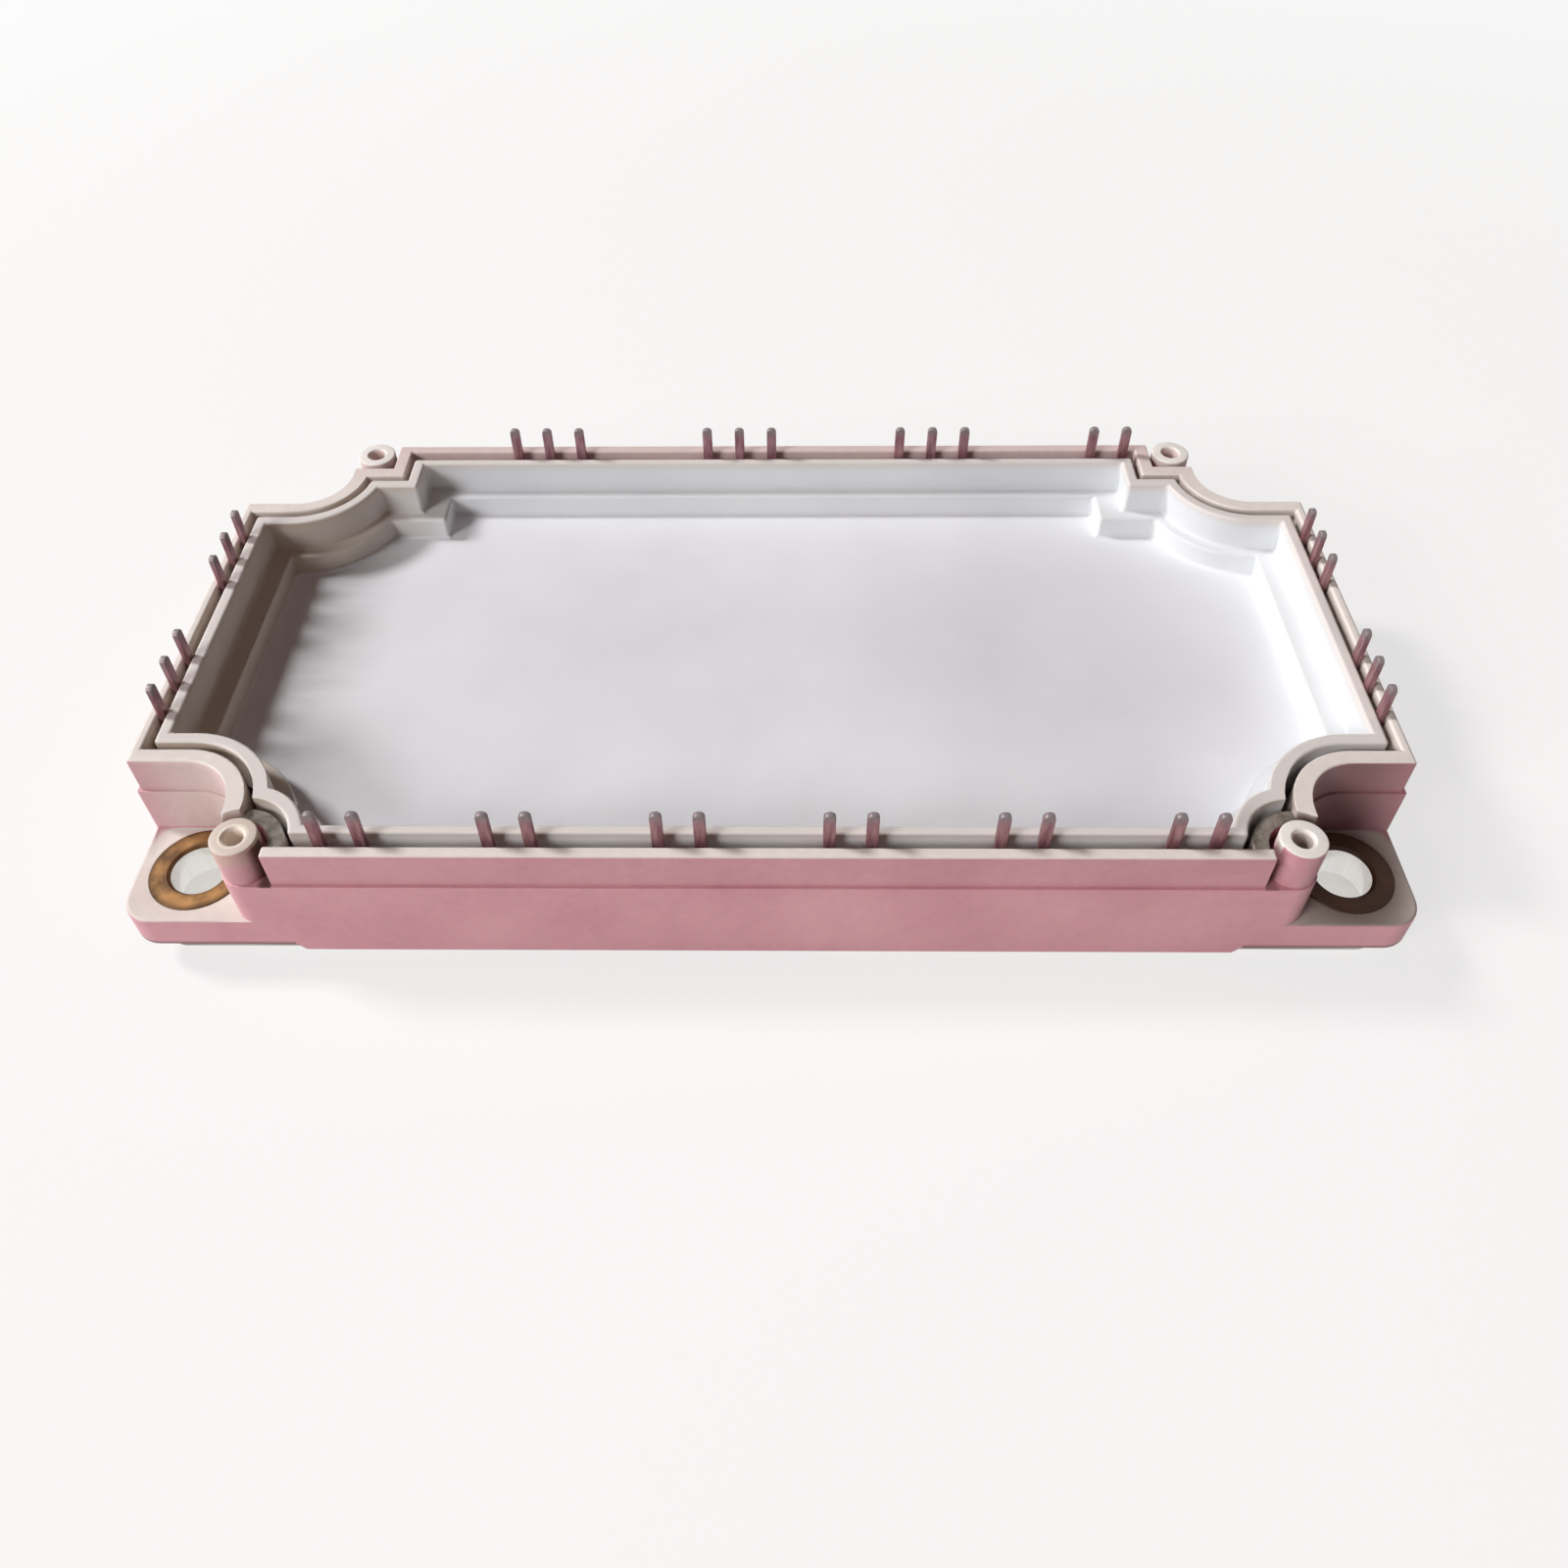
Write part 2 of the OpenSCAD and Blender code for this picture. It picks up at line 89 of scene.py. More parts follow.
# Matt nickel: grey with a warm cast, streaked along the rolling direction by the copper underneath.
# The walls of the punched holes are burnished by the tool, and plate out brighter.
matt_nickel, tree = new_material("matt_nickel_plating")
place = add(tree, "TexCoord", {})
rolled = add(tree, "Mapping", {"Vector": place.outputs["Object"], "Scale": (1.0, 14.0, 14.0)})
streaks = add(tree, "TexNoise", {"Vector": rolled.outputs[0], "Scale": 1 / (9 * MM), "Detail": 5.0})
stains = add(tree, "TexNoise", {"Vector": place.outputs["Object"], "Scale": 1 / (12 * MM), "Detail": 3.0})
plated = add(tree, "ValToRGB", {"Fac": stains.outputs["Fac"]}, stops=((0.3, "#99948e"), (0.7, "#bbb6b0")))
folded = add(tree, "VectorMath", {0: place.outputs["Object"]}, operation="ABSOLUTE")
flat = add(tree, "VectorMath", {0: folded.outputs[0], 1: IN_PLAN}, operation="MULTIPLY")
from_hole = add(tree, "VectorMath", {0: flat.outputs[0], 1: screw_hole}, operation="DISTANCE")
punched = add(tree, "Math", {0: from_hole.outputs["Value"], 1: punched_radius}, operation="LESS_THAN")
tone = add(tree, "Mix", {0: punched.outputs[0], COLOUR_A: plated.outputs["Color"],
                         COLOUR_B: srgb("#efece8")}, data_type="RGBA")
dull = add(tree, "MapRange", {"Value": streaks.outputs["Fac"], "To Min": 0.32, "To Max": 0.55})
relief = add(tree, "Bump", {"Height": streaks.outputs["Fac"], "Strength": 0.15, "Distance": 0.04 * MM})
metal = add(tree, "BsdfPrincipled", {"Base Color": tone.outputs[MIXED], "Metallic": 1.0,
                                     "Roughness": dull.outputs[0], "Normal": relief.outputs[0]})
add(tree, "OutputMaterial", {"Surface": metal.outputs[0]})
dress("base_plate", matt_nickel)


# Solder: the tiles are floated onto the plate on a thin bed of soft solder, melted in an oven.
# It sets to a dull grey skin with fine grains.
soft_solder, tree = new_material("soft_solder")
place = add(tree, "TexCoord", {})
grains = add(tree, "TexVoronoi", {"Vector": place.outputs["Object"], "Scale": 1 / (0.6 * MM)})
tone = add(tree, "ValToRGB", {"Fac": grains.outputs["Distance"]}, stops=((0.0, "#b4b8bb"), (1.0, "#8e9295")))
metal = add(tree, "BsdfPrincipled", {"Base Color": tone.outputs["Color"], "Metallic": 1.0,
                                     "Roughness": 0.42})
add(tree, "OutputMaterial", {"Surface": metal.outputs[0]})
dress("solder_layers", soft_solder)


# Tiles: white alumina fired to 0.4 mm, with 0.3 mm of copper bonded to both faces and etched into two
# islands above. The ceramic shows as a band at the edge and in the gap between the islands.
tile_low, tile_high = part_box("substrate_1")
cladding, margin = 0.3 * MM, 0.01 * MM
ceramic_middle = (tile_low.z + tile_high.z) / 2
ceramic_half = (tile_high.z - tile_low.z) / 2 - cladding + margin
clad_ceramic, tree = new_material("copper_clad_alumina")
place = add(tree, "TexCoord", {})
spot = add(tree, "SeparateXYZ", {"Vector": place.outputs["Object"]})
band = add(tree, "Math", {0: spot.outputs["Z"], 1: ceramic_middle, 2: ceramic_half}, operation="COMPARE")
blush = add(tree, "TexNoise", {"Vector": place.outputs["Object"], "Scale": 1 / (4 * MM), "Detail": 4.0})
copper = add(tree, "ValToRGB", {"Fac": blush.outputs["Fac"]}, stops=((0.3, "#b06a48"), (0.7, "#d79a78")))
tone = add(tree, "Mix", {0: band.outputs[0], COLOUR_A: copper.outputs["Color"],
                         COLOUR_B: srgb("#f0eeea")}, data_type="RGBA")
metalness = add(tree, "Math", {0: 1.0, 1: band.outputs[0]}, operation="SUBTRACT")
sheen = add(tree, "MapRange", {"Value": blush.outputs["Fac"], "To Min": 0.28, "To Max": 0.45})
face = add(tree, "BsdfPrincipled", {"Base Color": tone.outputs[MIXED], "Metallic": metalness.outputs[0],
                                    "Roughness": sheen.outputs[0]})
add(tree, "OutputMaterial", {"Surface": face.outputs[0]})
for tile in (1, 2, 3):
    dress(f"substrate_{tile}", clad_ceramic)


# Chips: thinned silicon with an aluminium top metal, diced square and soldered to the copper.
# The cell rows on top give a faint grid, drawn 0.4 mm wide because the real one is too fine to show.
silicon, tree = new_material("metallised_silicon")
place = add(tree, "TexCoord", {})
cells = add(tree, "TexBrick", {"Vector": place.outputs["Object"], "Scale": 1 / (0.8 * MM),
                               "Mortar Size": 0.03, "Mortar": srgb("#565b61"),
                               "Color1": srgb("#7c8288"), "Color2": srgb("#71777e")}, offset=0.0)
wafer = add(tree, "BsdfPrincipled", {"Base Color": cells.outputs["Color"], "Metallic": 0.8,
                                     "Roughness": 0.25})
add(tree, "OutputMaterial", {"Surface": wafer.outputs[0]})
for tile in (1, 2, 3):
    dress(f"transistor_chips_{tile}", silicon)
    dress(f"diode_chips_{tile}", silicon)


# Thermistor: a small pressed and fired block of dark oxide beside the last chips.
# Its skin is matt with pale specks.
fired_oxide, tree = new_material("fired_oxide_ceramic")
place = add(tree, "TexCoord", {})
specks = add(tree, "TexNoise", {"Vector": place.outputs["Object"], "Scale": 1 / (0.25 * MM), "Detail": 2.0})
tone = add(tree, "ValToRGB", {"Fac": specks.outputs["Fac"]}, stops=((0.45, "#333336"), (0.75, "#58585c")))
block = add(tree, "BsdfPrincipled", {"Base Color": tone.outputs["Color"], "Roughness": 0.7})
add(tree, "OutputMaterial", {"Surface": block.outputs[0]})
dress("thermistor", fired_oxide)


# Bond wires: drawn aluminium, 0.3 mm thick, welded down by ultrasound at both ends.
# Drawing leaves a soft satin with slight changes of gloss along the wire.
drawn_aluminium, tree = new_material("drawn_aluminium")
place = add(tree, "TexCoord", {})
gloss = add(tree, "TexNoise", {"Vector": place.outputs["Object"], "Scale": 1 / (0.8 * MM), "Detail": 3.0})
tone = add(tree, "ValToRGB", {"Fac": gloss.outputs["Fac"]}, stops=((0.0, "#c3c6c9"), (1.0, "#e2e4e6")))
satin = add(tree, "MapRange", {"Value": gloss.outputs["Fac"], "To Min": 0.22, "To Max": 0.42})
wire = add(tree, "BsdfPrincipled", {"Base Color": tone.outputs["Color"], "Metallic": 1.0,
                                    "Roughness": satin.outputs[0]})
add(tree, "OutputMaterial", {"Surface": wire.outputs[0]})
for tile in (1, 2, 3):
    dress(f"bond_wires_{tile}", drawn_aluminium)


# Adhesive: a bead of white silicone squeezed flat between the frame and the plate.
# It cures to a dull rubber with small bubbles.
cured_silicone, tree = new_material("cured_silicone_adhesive")
place = add(tree, "TexCoord", {})
bubbles = add(tree, "TexVoronoi", {"Vector": place.outputs["Object"], "Scale": 1 / (1.2 * MM)})
tone = add(tree, "ValToRGB", {"Fac": bubbles.outputs["Distance"]}, stops=((0.0, "#d2cdc2"), (1.0, "#e6e2d8")))
bead = add(tree, "BsdfPrincipled", {"Base Color": tone.outputs["Color"], "Roughness": 0.6})
add(tree, "OutputMaterial", {"Surface": bead.outputs[0]})
dress("plate_adhesive", cured_silicone)


# Frame: one injection moulding of glass-filled polyester, with the walls, ears and standoffs in one piece.
# The solid is copied, its flat faces are joined up, and each kind of edge gets the radius the mould gave it.
SAME_PLANE, STRAIGHT, CREASE = radians(0.8), radians(0.5), radians(28)
SAME_POINT, SLIVER, ON_CUT = 0.02 * MM, 0.01 * MM, 0.005 * MM
NEIGHBOUR_SHARE = 0.42


def mould(node, name, cuts, radius_at):
    form = bmesh.new()
    form.from_mesh(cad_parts[node].data)
    bmesh.ops.remove_doubles(form, verts=form.verts, dist=SAME_POINT)
    bmesh.ops.dissolve_degenerate(form, dist=SLIVER, edges=form.edges)
    # Level faces are cut through their holes, so that each piece can be joined into one face.
    # Dictionaries stand in for sets, because they keep their order and each run then gives the same mesh.
    for across, top in cuts:
        level = [f for f in form.faces if abs(f.normal.z) > 0.9 and f.calc_center_median().z < top]
        part = list(dict.fromkeys(item for f in level for item in (f, *f.edges, *f.verts)))
        cut = bmesh.ops.bisect_plane(form, geom=part, dist=ON_CUT, plane_co=across,
                                     plane_no=across.normalized())
        for item in cut["geom_cut"]:
            if isinstance(item, bmesh.types.BMEdge):
                item.seam = True
    # Faces in one plane are joined unless a cut runs between them, and points on straight edges are dropped
    left = dict.fromkeys(form.faces)
    while left:
        first = next(iter(left))
        left.pop(first)
        patch, queue = [first], [first]
        while queue:
            for edge in queue.pop().edges:
                for face in () if edge.seam else edge.link_faces:
                    if face in left and face.normal.angle(first.normal, radians(180)) < SAME_PLANE:
                        left.pop(face)
                        patch.append(face)
                        queue.append(face)
        if len(patch) > 1:
            bmesh.ops.dissolve_faces(form, faces=patch)
    spare = [v for v in form.verts if len(v.link_edges) == 2 and v.calc_edge_angle() < STRAIGHT]
    bmesh.ops.dissolve_verts(form, verts=spare)
    # An edge's weight is its radius in millimetres, kept under the room that the edges beside it leave
    weight = form.edges.layers.float.new("bevel_weight_edge")
    for edge in form.edges:
        if edge.calc_face_angle(0.0) < CREASE:
            continue
        start, end = edge.verts
        run = (end.co - start.co).normalized()
        radius = radius_at((start.co + end.co) / (2 * MM), abs(run.z) > 0.5, edge.is_convex)
        for vert in edge.verts:
            for other in vert.link_edges:
                if abs((other.other_vert(vert).co - vert.co).normalized().dot(run)) < 0.9:
                    radius = min(radius, NEIGHBOUR_SHARE * other.calc_length() / MM)
        edge[weight] = radius
        edge.smooth = radius > 0
    mesh = bpy.data.meshes.new(name)
    form.to_mesh(mesh)
    form.free()
    mesh.shade_smooth()
    piece = bpy.data.objects.new(name, mesh)
    bpy.context.scene.collection.objects.link(piece)
    rounding = piece.modifiers.new("edge_radius", "BEVEL")
    rounding.limit_method = "WEIGHT"
    rounding.width = MM
    rounding.segments = 3
    rounding.use_clamp_overlap = False
    flat = piece.modifiers.new("flat_faces", "WEIGHTED_NORMAL")
    flat.keep_sharp = True
    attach(piece, "root")
    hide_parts(node)
    return piece


# Heights and places on the moulding and its edge radii, all in millimetres.
# A hollow round a screw meets the pocket of its standoff at a cusp.
half_length, half_width, post_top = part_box("frame")[1] / MM
foot, ear_top, shoulder, notch, rim = 3.2, 6.95, 12.5, 15.75, 16.75
ear_corner, ear_start = 3.0, 50.1
post_x, post_y = 47.6, 28.65
cusp_x, cusp_y = 49.2, 24.8
foot_edge, ear_edge, shoulder_edge, rim_edge, post_edge, wall_corner = 0.12, 0.35, 0.09, 0.32, 0.15, 0.2


def frame_radius(p, upright, convex):
    x, y = abs(p.x), abs(p.y)
    past_x, past_y = x - half_length + ear_corner, y - half_width + ear_corner
    rounded = past_x > 0 and past_y > 0 and hypot(past_x, past_y) > ear_corner - 0.1
    outline = x > half_length - 0.1 or y > half_width - 0.1 or rounded
    if p.z > post_top - 0.1:
        return post_edge if hypot(x - post_x, y - post_y) > 2.0 else 0.0
    if upright:
        at_cusp = -1.0 < x - cusp_x < 1.6 and -1.8 < y - cusp_y < 2.2
        return wall_corner if p.z > ear_top + 0.25 and not at_cusp else 0.0
    if p.z > rim - 0.25:
        return max(0.04, min(rim_edge, 0.05 * hypot(x - cusp_x, y - cusp_y) - 0.04))
    if abs(p.z - shoulder) < 0.05 and convex:
        return shoulder_edge
    if abs(p.z - ear_top) < 0.05 and outline:
        return max(0.0, min(ear_edge, 0.2 * (x - ear_start)))
    return foot_edge if p.z < foot + 0.2 and outline else 0.0


# A cut is a point on a plane that is square to the line from the origin, and the height it reaches up to.
# The ears are cut where their edge radius grows from nothing, and through the screw holes.
no_limit, over_ears = 1.0, (ear_top + 0.25) * MM
middle = [(Vector((0.01 * MM, 0, 0)), no_limit), (Vector((0, 0.01 * MM, 0)), no_limit)]
ear_steps = (ear_start * MM, 50.6 * MM, 51.3 * MM, 52.2 * MM, screw_hole[0])
ears = [(Vector((side * step, 0, 0)), over_ears) for step in ear_steps for side in (1, -1)]
ears += [(Vector((0, side * screw_hole[1], 0)), over_ears) for side in (1, -1)]
frame_piece = mould("frame", "moulded_frame", middle + ears, frame_radius)

# Glass-filled polyester: satin, a warm off-white, cream on the faces that look up and in, with fine glass
# mottle and soft flow marks. The outer upright faces carry a rose cast that is painted pink bounce light. Use
# has left a tan stain at the front left standoff; painted shade lies round the front right screw, with some
# grease, and in the grooves.
polyester, tree = new_material("glass_filled_polyester")
place = add(tree, "TexCoord", {})
spot = add(tree, "SeparateXYZ", {"Vector": place.outputs["Object"]})
facing = add(tree, "SeparateXYZ", {"Vector": place.outputs["Normal"]})
plan = add(tree, "VectorMath", {0: place.outputs["Object"], 1: IN_PLAN}, operation="MULTIPLY")
quarter = add(tree, "VectorMath", {0: plan.outputs[0]}, operation="ABSOLUTE")
folded = add(tree, "SeparateXYZ", {"Vector": quarter.outputs[0]})
standoff = (post_x * MM, post_y * MM, 0.0)
from_post = add(tree, "VectorMath", {0: quarter.outputs[0], 1: standoff}, operation="DISTANCE")
from_hole = add(tree, "VectorMath", {0: quarter.outputs[0], 1: screw_hole}, operation="DISTANCE")

# Places round the standoffs, by the distance from their axis, and the half of the moulding they are in
in_pilot, on_post, near_post, beside_post = [
    add(tree, "Math", {0: from_post.outputs["Value"], 1: reach * MM}, operation="LESS_THAN")
    for reach in (1.4, 2.4, 4.6, 5.6)]
at_left, front = [add(tree, "Math", {0: spot.outputs[axis], 1: 0.0}, operation="LESS_THAN") for axis in "XY"]
inside = add(tree, "Math", {0: folded.outputs["Y"], 1: 29.45 * MM}, operation="LESS_THAN")
level = add(tree, "Math", {0: facing.outputs["Z"], 1: 0.6}, operation="GREATER_THAN")
low_rim = add(tree, "Math", {0: spot.outputs["Z"], 1: notch * MM, 2: 0.45 * MM}, operation="COMPARE")
near_rim = add(tree, "MapRange", {"Value": spot.outputs["Z"], "From Min": (notch - 0.3) * MM,
                                  "From Max": (notch + 0.6) * MM})
for share in (inside, near_rim):
    beside_post = add(tree, "Math", {0: beside_post.outputs[0], 1: share.outputs[0]}, operation="MULTIPLY")
behind_post = add(tree, "Math", {0: near_post.outputs[0], 1: on_post.outputs[0]}, operation="SUBTRACT")
for share in (low_rim, front, inside, level):
    behind_post = add(tree, "Math", {0: behind_post.outputs[0], 1: share.outputs[0]}, operation="MULTIPLY")

# Cream faces, spared the painted rose bounce light: those that look up, but not the shoulder, those that look
# in, the left hollows, painted paler as lit by the left ears, the pilot holes in the standoffs and the walls
# beside them
away = add(tree, "VectorMath", {0: place.outputs["Normal"], 1: plan.outputs[0]}, operation="DOT_PRODUCT")
inward = add(tree, "Math", {0: away.outputs["Value"], 1: -10 * MM}, operation="LESS_THAN")
inward = add(tree, "Math", {0: inward.outputs[0], 1: on_post.outputs[0]}, operation="SUBTRACT")
up = add(tree, "MapRange", {"Value": facing.outputs["Z"], "From Min": 0.35, "From Max": 0.85},
         interpolation_type="SMOOTHSTEP")
ledge = add(tree, "Math", {0: spot.outputs["Z"], 1: shoulder * MM, 2: 0.2 * MM}, operation="COMPARE")
up = add(tree, "Math", {0: up.outputs[0], 1: ledge.outputs[0]}, operation="SUBTRACT")
above_ear = add(tree, "Math", {0: spot.outputs["Z"], 1: over_ears}, operation="GREATER_THAN")
hollow = add(tree, "MapRange", {"Value": from_hole.outputs["Value"], "From Min": 5.2 * MM,
                                "From Max": 8.8 * MM, "To Min": 0.75, "To Max": 0.0})
for share in (above_ear, at_left):
    hollow = add(tree, "Math", {0: hollow.outputs[0], 1: share.outputs[0]}, operation="MULTIPLY")
pale = up
for other in (inward, hollow, in_pilot, beside_post):
    pale = add(tree, "Math", {0: pale.outputs[0], 1: other.outputs[0]}, operation="MAXIMUM")

# The painted rose bounce light is deeper above the shoulder. Cream is worn paler at the rim and the
# standoffs, and takes painted pink bounce light at the back.
clouds = add(tree, "TexNoise", {"Vector": place.outputs["Object"], "Scale": 1 / (11 * MM), "Detail": 4.0})
mottle = add(tree, "TexNoise", {"Vector": place.outputs["Object"], "Scale": 1 / (1.1 * MM), "Detail": 4.0,
                                "Roughness": 0.6})
pink_bounce = add(tree, "ValToRGB", {"Fac": clouds.outputs["Fac"]}, stops=((0.3, "#d699a4"), (0.7, "#e2aab3")))
upper = add(tree, "MapRange", {"Value": spot.outputs["Z"], "From Min": shoulder * MM,
                               "From Max": (shoulder + 0.4) * MM, "To Min": 1.0, "To Max": 0.93})
pink_bounce = add(tree, "VectorMath", {0: pink_bounce.outputs["Color"], 1: upper.outputs[0]}, operation="MULTIPLY")
cream = add(tree, "ValToRGB", {"Fac": clouds.outputs["Fac"]}, stops=((0.3, "#ddd0c8"), (0.7, "#eae0da")))
worn = add(tree, "MapRange", {"Value": spot.outputs["Z"], "From Min": (rim - 0.75) * MM,
                              "From Max": (rim - 0.15) * MM, "To Max": 0.8})
# Painted pink bounce light on the cream faces towards the back
back_pink_bounce = add(tree, "MapRange", {"Value": spot.outputs["Y"], "From Min": 22 * MM, "From Max": 30 * MM,
                                   "To Max": 0.6})
top = add(tree, "Math", {0: spot.outputs["Z"], 1: (post_top - 0.1) * MM}, operation="GREATER_THAN")
tone = cream.outputs["Color"]
for mask, colour in ((worn, "#f4ece6"), (back_pink_bounce, "#dfbdbd"), (top, "#fbf5f0")):
    layer = add(tree, "Mix", {0: mask.outputs[0], COLOUR_A: tone, COLOUR_B: srgb(colour)}, data_type="RGBA")
    tone = layer.outputs[MIXED]
# Outer upright faces take the painted rose bounce light, the others keep the cream
base = add(tree, "Mix", {0: pale.outputs[0], COLOUR_A: pink_bounce.outputs[0], COLOUR_B: tone}, data_type="RGBA")
fleck = add(tree, "MapRange", {"Value": mottle.outputs["Fac"], "From Min": 0.3, "From Max": 0.7,
                               "To Min": 0.95, "To Max": 1.03})
flecked = add(tree, "VectorMath", {0: base.outputs[MIXED], 1: fleck.outputs[0]}, operation="MULTIPLY")

# The stain at the front left standoff, painted light in its pilot hole against the shade there, and painted
# shade with some grease round the front right screw
stained_at = (-post_x * MM, -post_y * MM, (rim - 0.25) * MM)
from_stain = add(tree, "VectorMath", {0: place.outputs["Object"], 1: stained_at}, operation="DISTANCE")
stain = add(tree, "MapRange", {"Value": from_stain.outputs["Value"], "From Min": 2 * MM, "From Max": 2.9 * MM,
                               "To Min": 0.6, "To Max": 0.0})
# Painted light inside the front left pilot hole, lifting its shade
painted_pilot_light = in_pilot
for share in (at_left, front):
    painted_pilot_light = add(tree, "Math", {0: painted_pilot_light.outputs[0], 1: share.outputs[0]}, operation="MULTIPLY")
# Round the front right screw the ear and hollow are painted darker: mostly painted shade, with some grease
grease_and_shade_at = (screw_hole[0], -screw_hole[1], 0.0)
from_grease_and_shade = add(tree, "VectorMath", {0: plan.outputs[0], 1: grease_and_shade_at}, operation="DISTANCE")
grease_and_shade = add(tree, "MapRange", {"Value": from_grease_and_shade.outputs["Value"], "From Min": 4.5 * MM,
                                "From Max": 9.5 * MM, "To Min": 0.8, "To Max": 0.0})
for limit, side in ((ear_top - 0.15, "GREATER_THAN"), (rim - 0.15, "LESS_THAN")):
    within = add(tree, "Math", {0: spot.outputs["Z"], 1: limit * MM}, operation=side)
    grease_and_shade = add(tree, "Math", {0: grease_and_shade.outputs[0], 1: within.outputs[0]}, operation="MULTIPLY")

# Painted shade in the nooks, darkest where ambient occlusion is lowest, except on the shoulder and the front
# posts, and smeared dirt with painted shade behind the front posts
nook = add(tree, "AmbientOcclusion", {"Distance": 1.6 * MM}, samples=6)
nook_shade = add(tree, "MapRange", {"Value": nook.outputs["AO"], "From Min": 0.1, "From Max": 0.65,
                               "To Min": 0.42, "To Max": 0.0})
shade_spared = add(tree, "Math", {0: on_post.outputs[0], 1: front.outputs[0]}, operation="MULTIPLY")
shade_spared = add(tree, "Math", {0: shade_spared.outputs[0], 1: ledge.outputs[0]}, operation="MAXIMUM")
shade_allowed = add(tree, "Math", {0: 1.0, 1: shade_spared.outputs[0]}, operation="SUBTRACT")
nook_shade = add(tree, "Math", {0: nook_shade.outputs[0], 1: shade_allowed.outputs[0]}, operation="MULTIPLY")
# Behind the front posts the lowered rim is darkened: partly dirt, partly painted shade
smear = add(tree, "MapRange", {"Value": mottle.outputs["Fac"], "From Min": 0.35, "From Max": 0.65,
                               "To Min": 0.65, "To Max": 0.92})
dirt_and_shade = add(tree, "Math", {0: behind_post.outputs[0], 1: smear.outputs[0]}, operation="MULTIPLY")

# Painted shade in the gaps where the long walls end beside the standoffs, lighter on the right, and the ears'
# dark foot line
wall_end_x, wall_end_y = 44.8, 28.5
gap_shade = add(tree, "MapRange", {"Value": folded.outputs["X"], "From Min": (wall_end_x + 0.9) * MM,
                             "From Max": (wall_end_x + 1.4) * MM, "To Min": 0.85, "To Max": 0.0})
for value, limit, side in ((folded.outputs["X"], wall_end_x, "GREATER_THAN"),
                           (folded.outputs["Y"], wall_end_y, "GREATER_THAN"),
                           (spot.outputs["Z"], shoulder - 0.1, "GREATER_THAN"),
                           (spot.outputs["Z"], rim - 0.15, "LESS_THAN")):
    within = add(tree, "Math", {0: value, 1: limit * MM}, operation=side)
    gap_shade = add(tree, "Math", {0: gap_shade.outputs[0], 1: within.outputs[0]}, operation="MULTIPLY")
lighter_on_right = add(tree, "MapRange", {"Value": spot.outputs["X"], "From Min": -10 * MM, "From Max": 10 * MM,
                               "To Min": 1.0, "To Max": 0.5})
gap_shade = add(tree, "Math", {0: gap_shade.outputs[0], 1: lighter_on_right.outputs[0]}, operation="MULTIPLY")
foot_line = add(tree, "MapRange", {"Value": spot.outputs["Z"], "From Min": (foot + 0.1) * MM,
                                   "From Max": (foot + 0.6) * MM, "To Min": 0.85, "To Max": 0.0})
at_ear = add(tree, "Math", {0: folded.outputs["X"], 1: 44.9 * MM}, operation="GREATER_THAN")
foot_line = add(tree, "Math", {0: foot_line.outputs[0], 1: at_ear.outputs[0]}, operation="MULTIPLY")

tone = flecked.outputs[0]
for mask, colour in ((stain, "#d3bba6"), (painted_pilot_light, "#f8ebdf"), (grease_and_shade, "#604943"), (nook_shade, "#786a5e"),
                     (dirt_and_shade, "#463e2d"), (gap_shade, "#57332f"), (foot_line, "#5d3a3c")):
    layer = add(tree, "Mix", {0: mask.outputs[0], COLOUR_A: tone, COLOUR_B: srgb(colour)}, data_type="RGBA")
    tone = layer.outputs[MIXED]
satin = add(tree, "MapRange", {"Value": mottle.outputs["Fac"], "To Min": 0.38, "To Max": 0.56})
grain = add(tree, "TexNoise", {"Vector": place.outputs["Object"], "Scale": 1 / (0.4 * MM), "Detail": 3.0})
relief = add(tree, "Bump", {"Height": grain.outputs["Fac"], "Strength": 0.25, "Distance": 0.03 * MM})
skin = add(tree, "BsdfPrincipled", {"Base Color": tone, "Roughness": satin.outputs[0], "IOR": 1.54,
                                    "Specular IOR Level": 0.3, "Normal": relief.outputs[0]})
add(tree, "OutputMaterial", {"Surface": skin.outputs[0]})
frame_piece.data.materials.append(polyester)


# Bushes: brass rings turned on a lathe and pressed into the ears, so that the screws pull on metal.
# The end face carries the rings of the cutting tool under a brown tarnish, darker at both edges, and
# painted darker on the right as shade. The bore is reamed bright.
outer, bore, chamfer, edge_break, facets = 4.75 * MM, 2.75 * MM, 0.3 * MM, 0.15 * MM, 72
turned_brass, tree = new_material("tarnished_brass")
place = add(tree, "TexCoord", {})
folded = add(tree, "VectorMath", {0: place.outputs["Object"]}, operation="ABSOLUTE")
flat = add(tree, "VectorMath", {0: folded.outputs[0], 1: IN_PLAN}, operation="MULTIPLY")
radius = add(tree, "VectorMath", {0: flat.outputs[0], 1: screw_hole}, operation="DISTANCE")
rings = add(tree, "TexNoise", {"W": radius.outputs["Value"], "Scale": 1 / (0.22 * MM), "Detail": 2.0},
            noise_dimensions="1D")
tarnish = add(tree, "TexNoise", {"Vector": place.outputs["Object"], "Scale": 1 / (2.2 * MM), "Detail": 4.0})
brown = add(tree, "ValToRGB", {"Fac": tarnish.outputs["Fac"]}, stops=((0.35, "#644425"), (0.68, "#bb8c55")))
off_middle = add(tree, "Math", {0: radius.outputs["Value"], 1: (outer + bore) / 2}, operation="SUBTRACT")
off_middle = add(tree, "Math", {0: off_middle.outputs[0]}, operation="ABSOLUTE")
edges = add(tree, "MapRange", {"Value": off_middle.outputs[0], "From Min": 0.35 * MM, "From Max": 0.9 * MM,
                               "To Max": 0.75})
spot = add(tree, "SeparateXYZ", {"Vector": place.outputs["Object"]})
